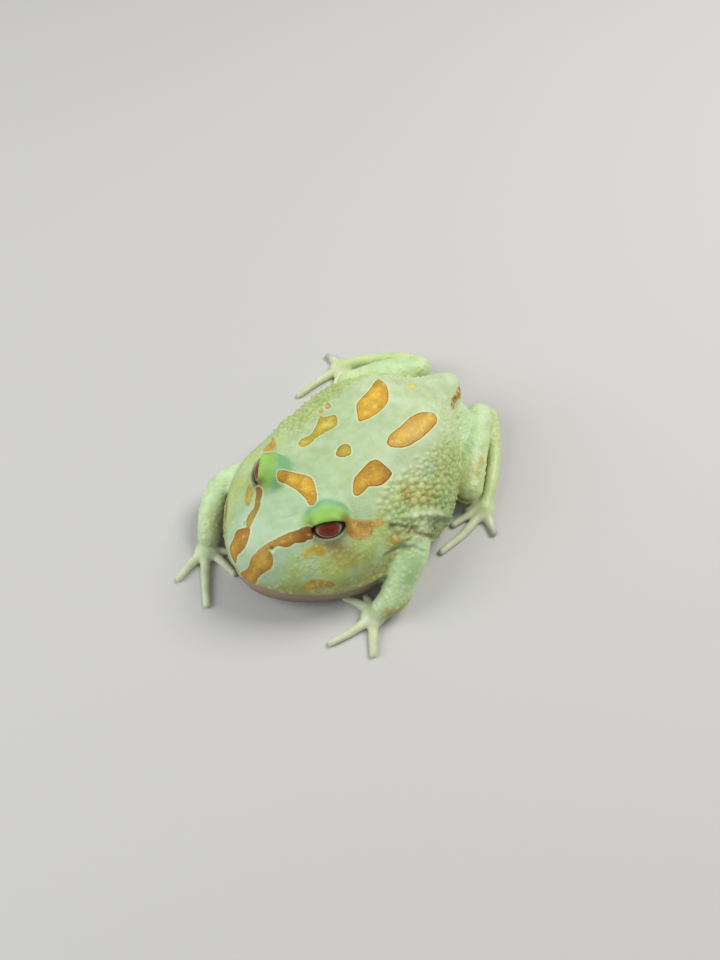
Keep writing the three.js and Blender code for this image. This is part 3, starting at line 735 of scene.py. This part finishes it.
def limb_masks(points):
    """How much each point belongs to a limb, to a digit, and to the end of the outermost toe."""
    limb, digit, tip, shoulder = np.full((4, len(points)), 9.0)
    for sizes in (LEFT, RIGHT):
        for name in ("arm", "thigh", "shank", "foot"):
            limb = np.minimum(limb, at(rod(sizes[name]), points))
        for pad, radii in ((sizes["palm"], PALM_RADII), (sizes["foot"][-1][:2], SOLE_RADII)):
            limb = np.minimum(limb, at(ball((*pad, 1.5), max(radii) + 1.5), points))
        for run in (*sizes["fingers"], *sizes["toes"]):
            digit = np.minimum(digit, at(digit_rod(run), points))
        tip = np.minimum(tip, np.linalg.norm(points - (*sizes["toes"][-1][-1], 0.8), axis=1))
        shoulder = np.minimum(shoulder, np.linalg.norm(points - sizes["arm"][0][:3], axis=1))
    limb = (1 - ramp(limb, 0.3, 1.6)) * ramp(shoulder, 2, 7)
    return limb, 1 - ramp(digit, 0.2, 1.2), 1 - ramp(tip, 0.6, 3.2)


def skin_zones(points):
    """The parts of the skin, each as a share at each point."""
    x, y, z = points.T
    wide = np.abs(x)
    limb, digit, tip = limb_masks(points)
    body = (1 - limb) * (1 - digit)
    flank = ramp(wide, 11.5, 16.5) * ramp(z, 2.5, 6.5) * ramp(y, -9, -1) * (1 - ramp(y, 30, 36))
    rear = ramp(y, 17, 27) * ramp(z, 6, 10) * ramp(wide, 2.5, 7)
    cheek = ramp(wide, 7, 11) * ramp(z, 9.5, 12) * (1 - ramp(z, 19, 22)) * (1 - ramp(y, -10, -5))
    rise = z - smooth_table(MOUTH, y - SNOUT_Y)[:, 0]
    mouth = (1 - ramp(y - SNOUT_Y, MOUTH_END - 6, MOUTH_END)) * body
    belly = np.maximum(1 - ramp(z, 1.0, 5.5), mouth * (1 - ramp(rise, -1.2, 0.1)))
    return SimpleNamespace(
        limb=limb, digit=digit, tip=tip,
        flank=flank * body, rear=rear * body, cheek=cheek * body, belly=belly * body,
        jaw=(1 - ramp(rise, -1.6, 0.2)) * mouth,
        lip=bell(rise - 1.0, 1.3) * mouth,
        crease=bell(rise + 0.2, 0.5) * mouth,
    )


def warty_patch(points):
    """The share of the patch of big pale beads behind the shoulder."""
    return np.exp(-((np.linalg.norm(points - WARTY_PATCH, axis=1) / 3.0) ** 4))


def scatter_warts(points, normals):
    """Each wart's x, y, z, radius and height: the big ones sit low on the flanks."""
    zones = skin_zones(points)
    y, z = points[:, 1], points[:, 2]
    flank, rear, cheek = zones.flank, zones.rear, zones.cheek
    low_flank = flank * (1 - ramp(z, 17, 21))
    shoulder = flank * ramp(-y, -12, -5)
    upper_limb = zones.limb * (1 - zones.digit) * ramp(z, 3.5, 6) * ramp(normals[:, 2], -0.2, 0.4)
    patchy = ramp(np.sin(points * 1.1 + (2.0, 0.3, 1.2)).sum(1), -0.8, 0.9)
    kinds = [  # radius, height, chance at each point, number
        (0.8, 0.65, warty_patch(points) * (flank > 0), 24),
        (0.8, 0.62, low_flank * 0.9 + shoulder * 0.3, 170),
        (0.62, 0.48, low_flank + flank * 0.5 + rear * 0.15, 460),
        (0.5, 0.32, flank + rear * 0.7 + cheek * 0.25 * patchy, 900),
        (0.42, 0.2, flank * 0.8 + rear + cheek * 0.9 * patchy, 900),
        (0.46, 0.2, upper_limb, 420),
    ]
    warts = np.array(BIG_WARTS)
    for radius, height, chance, count in kinds:
        chance = np.clip(chance, 0, 1) * (zones.belly < 0.3) * (zones.tip < 0.1)
        tries = rng.choice(len(points), size=count * 4, p=chance / chance.sum())
        goal = len(warts) + count
        for i in tries:
            size = radius * rng.uniform(0.65, 1.3)
            if (np.linalg.norm(warts[:, :3] - points[i], axis=1) < (warts[:, 3] + size) * 0.86).any():
                continue
            rise = height * (1 - 0.6 * cheek[i]) * rng.uniform(0.6, 1.3)
            warts = np.vstack([warts, (*points[i], size, rise)])
            if len(warts) == goal:
                break
    return warts


def wart_relief(points, warts, tree):
    """Height and share of the warts at each point."""
    relief, share = np.zeros((2, len(points)))
    for *centre, radius, height in warts.tolist():
        for _, i, gap in tree.find_range(centre, radius * 1.5):
            dome = max(0.0, 1 - (gap / radius / 1.3) ** 2) ** 1.5
            relief[i] = max(relief[i], height * dome)
            share[i] = max(share[i], dome)
    return relief, share


def shape_skin(points, quads):
    """Raises the warts and the folds of loose skin along the skin's own normals."""
    normals = normals_of(points, quads)
    warts = scatter_warts(points, normals)
    tree = nearest_tree(points)
    relief = wart_relief(points, warts, tree)[0]
    for height, width, line in FOLDS:
        gap = line_distance(points, in_mm(line), tree, normals)
        relief = relief + height * bell(gap, width)
    moved = points + normals * relief[:, None]
    moved[:, 2] = np.maximum(moved[:, 2], 0)
    return moved, warts


def put(piece, **layers):
    """Gives the piece's points named values for its material."""
    for name, values in layers.items():
        kind, key = ("FLOAT_VECTOR", "vector") if values.ndim > 1 else ("FLOAT", "value")
        layer = piece.data.attributes.new(name, kind, "POINT")
        layer.data.foreach_set(key, np.asarray(values, np.float32).ravel())


def lay(colour, share, over):
    """One colour laid over the others, by a share at each point."""
    return colour + (np.array(over) - colour) * np.clip(share, 0, 1)[:, None]


def lid_masks(points):
    """The share of the lids, of their green rim, and of the painted shade in the corners of the eye."""
    lid, rim, corner = np.zeros((3, len(points)))
    for side in (1, -1):
        off = points - mirrored(EYE, side)
        out, across, up = (off @ direction for direction in eye_frame(side))
        above = at(lid_dome(side), points)
        lid = np.maximum(lid, (1 - ramp(above, -0.1, 1.5)) * ramp(off[:, 2], -0.6, 1.6))
        slot = np.sqrt((across / LID_OPENING[0]) ** 2 + (up / LID_OPENING[1]) ** 2)
        close = ramp(out, 0, 1.5) * (1 - ramp(above, 0.5, 2))
        rim = np.maximum(rim, (1 - ramp(slot, 1.1, 3.2)) * close * ramp(up, -1.2, 1.0))
        beside = ramp(np.abs(across), 2.4, 3.6) * (1 - ramp(slot, 1.1, 1.7))
        under = ramp(-up, 0.3, 1.2) * (1 - ramp(slot, 1.05, 1.6))
        corner = np.maximum(corner, np.maximum(beside, under * 0.6) * close)
    return lid, rim, corner


def ground_colour(points, zones):
    """The colour of the skin before its markings, with painted shade in creases, corners and undersides and
    painted light on the hands.
    """
    y, z = points[:, 1], points[:, 2]
    limb, flank, cheek = zones.limb, zones.flank, zones.cheek
    patchy = ramp(np.sin(points * 0.8 + (0.5, 2.0, 1.0)).sum(1), -1.2, 1.2)
    washes = [
        (ramp(y, 2, 26) * 0.6, PALE),
        (ramp(-y, 8, 22) * 0.5, BLUE_MINT),
        (limb, LEAF),
        (limb * ramp(y, 8, 16) * (1 - ramp(z, 7, 12)) * 0.3, YELLOW),
        (flank * 0.85 + cheek * (0.4 + 0.5 * patchy), LIME),
        # The lower flanks darker towards the floor: partly their own darker skin, partly painted shade.
        (flank * (1 - ramp(z, 6, 15)) * 0.75, SHADED_MOSS),
        (cheek * (1 - ramp(z, 11, 15.5)) * 0.9, OLIVE),
        # Painted light: the hands paler near the floor.
        (limb * (1 - ramp(z, 3, 6)) * ramp(-y, 12, 18) * 0.85, PALE),
        (zones.digit * 0.75, CREAM),
        (zones.lip * 0.8, OLIVE),
        (zones.belly * 0.9, BUFF),
        # Painted shade: the jaw darker towards the floor.
        (zones.jaw * (1 - ramp(z, 2.5, 8)) * 0.75, SHADE_BROWN),
    ]
    for radius, share, tint, line in BLUSHES_AND_SHADE:
        gap = nearest_on_line(points, in_mm(line))
        washes.append((share * bell(gap, radius), tint))
    lid, rim, corner = lid_masks(points)
    # The crease of the mouth gets painted shade.
    washes += [(zones.tip * 0.7, GREY), (zones.crease * 0.85, SHADE_BROWN)]
    # The corners of the eyes get painted shade.
    washes += [(lid, TEAL), (rim, GRASS), (corner * 0.75, SHADE)]
    colour = np.tile(MINT, (len(points), 1))
    for share, tint in washes:
        colour = lay(colour, share, tint)
    return colour, lid


def paint_skin(piece, warts):
    """The values by which the skin's material colours each place."""
    flat = np.empty(len(piece.data.vertices) * 3)
    piece.data.vertices.foreach_get("co", flat)
    points = flat.reshape(-1, 3) / MM - SHIFT
    zones = skin_zones(points)
    zones.flank = zones.flank * (1 - bell(nearest_on_line(points, in_mm(FLAP)), 1.3))
    depths, tints = [], []
    for start, end, crisp, outline in MARKINGS:
        depth, along = outline_depth(points, in_mm(outline))
        depths.append(depth)
        tints.append(lay(np.tile((*start, crisp), (len(points), 1)), along, (*end, crisp)))
    weights = np.exp(4 * np.array(depths))[:, :, None]
    tint = (weights * tints).sum(0) / weights.sum(0)
    drift = np.sin(points * 2.7 + (0.4, 1.9, 3.1)).sum(1) * 0.02
    ground, lid = ground_colour(points, zones)
    beads = wart_relief(points, warts, nearest_tree(points))[1]
    grain = 0.3 + zones.flank * 0.5 + zones.rear * 0.5 + zones.cheek * 0.4 + zones.limb * 0.2
    put(
        piece,
        mark=np.max(depths, axis=0) + drift - 4 * zones.jaw,
        tint=tint[:, :3], crisp=tint[:, 3], ground=ground, lid=lid,
        wart=beads * (1 - 0.55 * zones.cheek + 0.5 * warty_patch(points)),
        grain=np.clip(grain, 0, 1) * (1 - 0.6 * zones.digit),
        limb=zones.limb, flank=zones.flank,
    )


MATH = {"+": "ADD", "-": "SUBTRACT", "*": "MULTIPLY", "/": "DIVIDE", "^": "POWER"}


class Nodes:
    """Short names for the nodes that the materials are made of."""

    def __init__(self, name):
        self.material = bpy.data.materials.new(name)
        self.material.use_nodes = True
        self.tree = self.material.node_tree
        self.shader = self.tree.nodes["Principled BSDF"]
        self.place = self.tree.nodes.new("ShaderNodeTexCoord").outputs["Object"]

    def connect(self, node, inputs):
        for key, value in inputs.items():
            if isinstance(value, bpy.types.NodeSocket):
                self.tree.links.new(value, node.inputs[key])
            else:
                node.inputs[key].default_value = value

    def new(self, kind, output, inputs, **settings):
        node = self.tree.nodes.new(kind)
        for key, value in settings.items():
            setattr(node, key, value)
        self.connect(node, inputs)
        return node.outputs[output]

    def attribute(self, name, output="Fac"):
        return self.new("ShaderNodeAttribute", output, {}, attribute_name=name)

    def math(self, sign, a, b=0.0):
        return self.new("ShaderNodeMath", 0, {0: a, 1: b}, operation=MATH.get(sign, sign))

    def mix(self, share, a, b, blend="MIX"):
        a, b = ((*v, 1) if isinstance(v, tuple) else v for v in (a, b))
        return self.new("ShaderNodeMix", 2, {0: share, 6: a, 7: b}, data_type="RGBA", blend_type=blend)

    def shade(self, share, colour, low, high):
        """The colour times one factor where the share is 0, and times another where it is 1."""
        return self.mix(1.0, colour, self.mix(share, low, high), "MULTIPLY")

    def span(self, value, low, high, start=0.0, end=1.0):
        inputs = {0: value, 1: low, 2: high, 3: start, 4: end}
        return self.new("ShaderNodeMapRange", 0, inputs, interpolation_type="SMOOTHSTEP")

    def noise(self, scale, detail=3.0, roughness=0.55):
        inputs = {"Vector": self.place, "Scale": scale, "Detail": detail, "Roughness": roughness}
        return self.new("ShaderNodeTexNoise", 0, inputs)

    def beads(self, scale):
        """Round beads: one in the middle of each cell, zero between cells."""
        inputs = {"Vector": self.place, "Scale": scale}
        return self.span(self.new("ShaderNodeTexVoronoi", "Distance", inputs), 0.62, 0.1)

    def bump(self, height, distance, strength):
        inputs = {"Height": height, "Distance": distance, "Strength": strength}
        return self.new("ShaderNodeBump", 0, inputs)

    def surface(self, **values):
        self.connect(self.shader, {key.replace("_", " "): value for key, value in values.items()})


def skin_material():
    n = Nodes("frog skin")
    broad, middle, fine = n.noise(110, 4), n.noise(420, 4), n.noise(1900, 3)
    small_beads, big_beads = n.beads(2300), n.beads(1250)
    wart = n.attribute("wart")
    ground = n.attribute("ground", "Color")
    colour = n.shade(n.span(broad, 0.35, 0.65), ground, (0.9, 0.92, 0.88), (1.06, 1.05, 1.08))
    colour = n.shade(n.span(middle, 0.35, 0.65), colour, (0.93, 0.94, 0.86), (1.04, 1.03, 1.1))
    valley = n.math("*", n.attribute("flank"), n.math("-", 1.0, wart))
    colour = n.mix(n.math("*", valley, 0.45), colour, (0.2, 0.33, 0.13))
    colour = n.mix(n.math("*", wart, 0.6), colour, (0.68, 0.74, 0.33))
    specks = n.math("*", n.span(n.noise(330, 5, 0.65), 0.56, 0.72), n.attribute("grain"))
    colour = n.mix(n.math("*", specks, 0.55), colour, (0.62, 0.52, 0.14))
    edge = n.math("+", n.attribute("mark"), n.span(fine, 0.3, 0.7, -0.04, 0.04))
    crisp = n.attribute("crisp")
    blur = n.span(crisp, 0.0, 1.0, 0.6, 0.06)
    inside = n.span(edge, n.math("-", 0.0, blur), blur)
    halo = n.math("*", n.span(edge, -0.55, -0.15), n.math("-", 1.0, inside))
    colour = n.mix(n.math("*", halo, n.math("*", crisp, 0.75)), colour, (0.78, 0.82, 0.47))
    tint = n.attribute("tint", "Color")
    mark = n.shade(n.span(middle, 0.3, 0.7), tint, (0.84, 0.8, 0.72), (1.12, 1.14, 1.2))
    mark = n.shade(n.span(edge, 0.5, 2.0), mark, (0.92, 0.9, 0.85), (1.14, 1.22, 1.6))
    mark = n.shade(n.math("*", small_beads, 0.7), mark, (1, 1, 1), (1.25, 1.42, 1.75))
    flecks = n.math("*", n.span(n.noise(800, 3), 0.58, 0.68), n.span(edge, 0.3, 0.8))
    mark = n.mix(n.math("*", flecks, 0.5), mark, (0.8, 0.66, 0.22))
    rim = n.math("*", n.span(edge, 0.4, 0.1), crisp)
    mark = n.shade(rim, mark, (1, 1, 1), (0.72, 0.65, 0.5))
    mark = n.mix(n.math("*", wart, 0.75), mark, (0.74, 0.74, 0.3))
    colour = n.mix(inside, colour, mark)
    relief = n.math("+", n.math("*", small_beads, 0.55), n.math("*", big_beads, 0.6))
    relief = n.math("+", n.math("*", relief, n.attribute("grain")), n.math("*", fine, 0.35))
    groove = n.math("*", n.math("*", n.span(edge, 0.35, 0.0), inside), crisp)
    normal = n.bump(n.math("-", relief, groove), 0.00011, 0.9)
    gloss = n.math("-", n.span(middle, 0.3, 0.7, 0.46, 0.6), n.math("*", n.attribute("limb"), 0.14))
    gloss = n.math("+", gloss, n.math("*", n.attribute("lid"), 0.12))
    n.surface(Base_Color=colour, Roughness=gloss, Normal=normal)
    n.surface(Subsurface_Weight=0.18, Subsurface_Radius=(1.0, 0.75, 0.35), Subsurface_Scale=0.0012)
    n.surface(Coat_Weight=0.14, Coat_Roughness=0.22, Coat_Normal=normal, IOR=1.4)
    return n.material


def eye_piece(name, side):
    """The eyeball: a dense ball with its cornea a little proud between the lids."""
    rings, spokes = EYE_MESH
    out, across, up = eye_frame(side)
    angles = math.pi * (np.arange(rings + 1) / rings) ** 1.25
    angle, turn = np.meshgrid(angles, 2 * math.pi * np.arange(spokes) / spokes, indexing="ij")
    local = np.stack([np.sin(angle) * np.cos(turn), np.sin(angle) * np.sin(turn), np.cos(angle)], -1)
    local = local.reshape(-1, 3) * EYE_RADIUS
    oval = np.hypot(local[:, 0] / (LID_OPENING[0] * 0.9), local[:, 1] / (LID_OPENING[1] * 0.95))
    proud = 0.1 * np.maximum(0, 1 - oval**2) ** 1.2 * (local[:, 2] > 0)
    local = local * (1 + proud / EYE_RADIUS)[:, None]
    here = np.arange(spokes, len(local))
    beside = here // spokes * spokes + (here + 1) % spokes
    faces = np.stack([here - spokes, here, beside, beside - spokes], 1)
    piece = make_mesh(name, mirrored(EYE, side) + local @ np.array([across, up, out]), faces)
    put(piece, eye_a=local[:, 0], eye_b=local[:, 1])
    modify(piece, "WELD", merge_threshold=1e-7)
    return piece


def eye_material():
    n = Nodes("frog eye")
    a, b = n.attribute("eye_a"), n.attribute("eye_b")
    streaks = n.noise(900, 5, 0.7)

    def oval(up, wide, high):
        """0 in the middle of an oval on the eye, and 1 on its rim."""
        return n.math("SQRT", n.math("+", *(
            n.math("^", n.math("/", v, size), 2.0) for v, size in ((a, wide), (up, high)))))

    pupil = n.math("+", oval(n.math("+", b, 0.1), 2.45, 1.65), n.span(streaks, 0.3, 0.7, -0.08, 0.08))
    streak = n.span(streaks, 0.35, 0.65)
    ball = n.mix(streak, (0.07, 0.04, 0.022), (0.13, 0.08, 0.045))
    ring = n.mix(streak, (0.2, 0.11, 0.08), (0.36, 0.23, 0.18))
    colour = n.mix(n.span(oval(b, 3.0, 2.3), 1.02, 0.94), ball, ring)
    colour = n.mix(n.span(pupil, 1.18, 1.02), colour, (0.42, 0.3, 0.26))
    # Lighter below and darker above: painted shadow of the upper lid.
    colour = n.shade(n.span(b, -1.0, 0.9), colour, (1.35, 1.3, 1.25), (0.5, 0.45, 0.42))
    colour = n.mix(n.span(pupil, 1.03, 0.95), colour, (0.24, 0.033, 0.009))
    colour = n.mix(n.span(pupil, 0.85, 0.3, 0, 0.7), colour, (0.14, 0.011, 0.003))
    # The top of the eye almost black: painted shadow under the upper lid.
    colour = n.mix(n.span(b, 0.9, 1.8), colour, (0.035, 0.02, 0.012))
    n.surface(Base_Color=colour, Roughness=0.35, Specular_IOR_Level=0.2, IOR=1.4)
    n.surface(Coat_Weight=0.45, Coat_Roughness=0.03)
    n.surface(Normal=n.bump(streaks, 0.00003, 0.4))
    return n.material


def floor_material():
    n = Nodes("pale floor")
    n.surface(Base_Color=n.mix(n.noise(3, 2), (0.6, 0.59, 0.57), (0.63, 0.62, 0.6)), Roughness=0.75)
    return n.material


field = Field(GRID_LOW, GRID_HIGH)
field.add(ball(RUMP, RUMP_RADII), 1.5)
for sizes in (LEFT, RIGHT):
    limbs(field, sizes)
head_details(field)
field.distance = np.maximum(field.distance, -field.axes[2])
points, quads = largest_piece(*surface(field))
points = relax(field, points, quads, RELAX_ROUNDS)
points, warts = shape_skin(points, quads)
skin = make_mesh("skin", points, quads)
share = min(1.0, SKIN_TRIANGLES / (len(quads) * 2))
modify(skin, "DECIMATE", ratio=share, use_collapse_triangulate=True)
paint_skin(skin, warts)
skin.data.materials.append(skin_material())
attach(skin, "root")
limb_nodes = ("upper_arm", "forearm", "hand", "thigh", "shank", "foot")
halves = [f"{name}_{side}" for side in ("left", "right") for name in limb_nodes]
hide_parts("head", "lower_jaw", "torso", *halves)

eyeball = eye_material()
for name, side in (("left", 1), ("right", -1)):
    eye = eye_piece(f"eyeball_{name}", side)
    eye.data.materials.append(eyeball)
    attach(eye, "root")
    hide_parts(f"eye_{name}")


def aim(thing, place, target):
    thing.location = place
    thing.rotation_euler = (target - place).to_track_quat("-Z", "Y").to_euler()


def lamp(name, place, size, power, colour):
    light = bpy.data.lights.new(name, "AREA")
    light.shape = "DISK"
    light.size, light.energy, light.color = size, power, colour
    aim(link(name, light), Vector(place), Vector((0, 0, 0.01)))


# The photo's camera: it looks down at a place on the floor under the frog
AZIMUTH, ELEVATION, DISTANCE = math.radians(43.7), math.radians(57.3), 220.5
LOOKS_AT = (-2.95, 4.9, 0)
LENS = 31.875
level = math.cos(ELEVATION)
back = Vector((math.sin(AZIMUTH) * level, -math.cos(AZIMUTH) * level, math.sin(ELEVATION)))
target = Vector((np.array(LOOKS_AT) + SHIFT) * MM)
camera = link("camera", bpy.data.cameras.new("camera"))
camera.data.lens = LENS
camera.data.clip_start = 0.01
aim(camera, target + back * DISTANCE * MM, target)
bpy.context.scene.camera = camera

mesh = bpy.data.meshes.new("floor")
mesh.from_pydata([(-3, -3, 0), (3, -3, 0), (3, 3, 0), (-3, 3, 0)], [], [(0, 1, 2, 3)])
floor = link("floor", mesh)
mesh.materials.append(floor_material())

lamp("key", (0.1, 0.36, 0.5), 0.35, 2.5, (1.0, 0.98, 0.95))
lamp("fill", (-0.32, -0.42, 0.42), 0.5, 2.4, (0.95, 0.98, 1.0))
world = bpy.data.worlds.new("studio")
world.use_nodes = True
background = world.node_tree.nodes["Background"].inputs
background["Color"].default_value = (0.95, 0.97, 1.0, 1)
background["Strength"].default_value = 0.3
bpy.context.scene.world = world
bpy.context.scene.view_settings.view_transform = "Standard"
